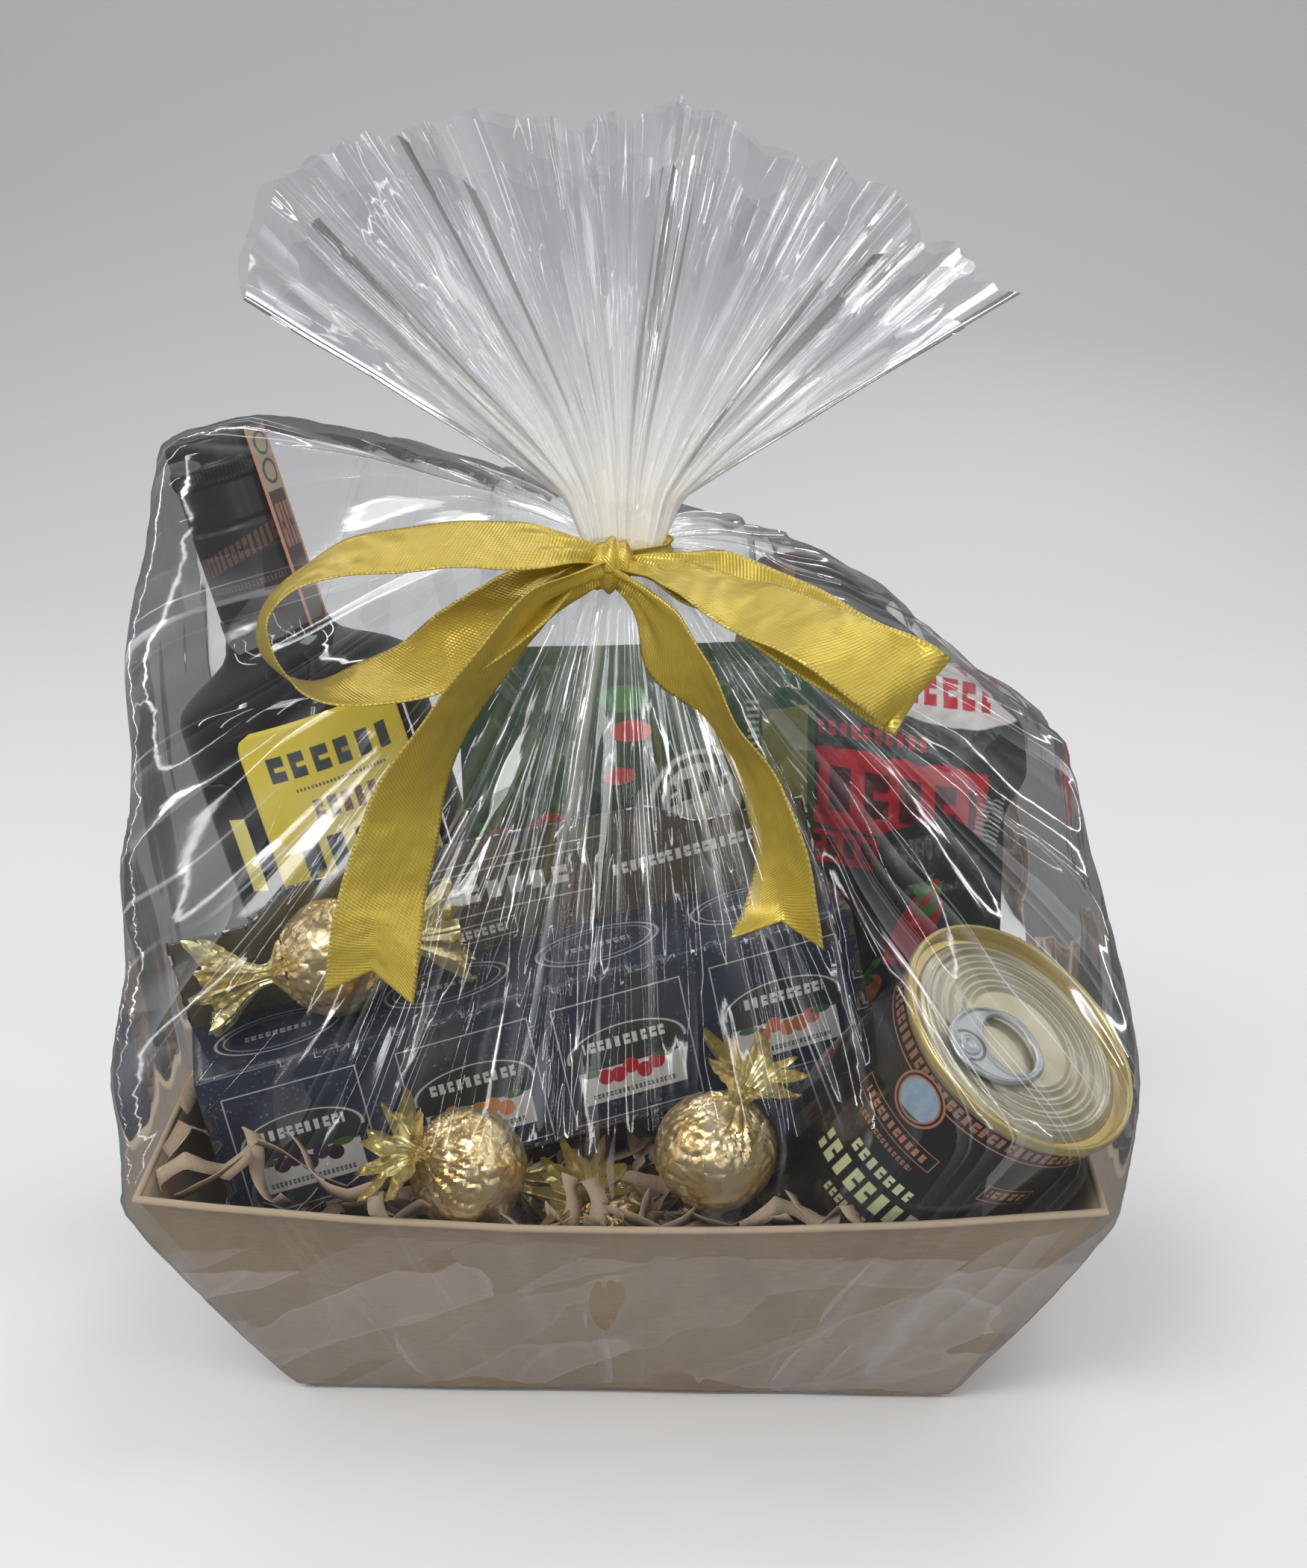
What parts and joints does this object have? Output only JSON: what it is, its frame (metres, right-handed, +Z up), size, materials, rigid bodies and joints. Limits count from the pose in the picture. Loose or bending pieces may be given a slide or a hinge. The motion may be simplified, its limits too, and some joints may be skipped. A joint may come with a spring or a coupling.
{
  "type": "gift basket",
  "caption": "Board tray of bottle, can, carton, packs and foil sweets on shredded paper, in clear film gathered into a pleated fan and tied with a satin ribbon bow.",
  "frame": {"origin": "middle of the flat underside that the basket stands on", "axes": "+Z up, +X to the right and +Y to the back, seen from the side that the bow is on"},
  "size_m": [0.2981, 0.21, 0.3711],
  "materials": {
    "kraft_board": "matt kraft board",
    "dark_glass": "glossy, almost black",
    "black_cap": "satin black",
    "yellow_label": "printed paper, slightly glossy",
    "paper_seal": "printed paper strip",
    "navy_card": "coated card with small pale dots",
    "black_tinplate": "printed, glossy",
    "gold_tinplate": "gold lacquered tinplate",
    "ring_metal": "bare, satin",
    "green_pouch": "printed plastic film",
    "black_pouch": "printed plastic film",
    "grey_pouch": "printed plastic film",
    "gold_foil": "crinkled gold foil",
    "kraft_shred": "matt shredded kraft paper",
    "clear_film": "clear glossy film",
    "gold_ribbon": "satin ribbon with stitched edges"
  },
  "bodies": {
    "root": {"tray": "kraft_board", "bottle": "dark_glass", "bottle_cap": "black_cap", "bottle_label": "yellow_label", "bottle_side_label": "yellow_label", "bottle_seal": "paper_seal", "spread_carton": "navy_card", "can_body": "black_tinplate", "can_lid": "gold_tinplate", "can_ring": "ring_metal", "soup_pack": "green_pouch", "pepper_pack": "black_pouch", "peanut_pack": "grey_pouch", "foil_sweet_1": "gold_foil", "foil_sweet_2": "gold_foil", "foil_sweet_3": "gold_foil", "foil_sweet_4": "gold_foil", "paper_shred": "kraft_shred", "film_sack": "clear_film", "film_fan": "clear_film", "ribbon_bow": "gold_ribbon"}
  },
  "joints": []
}
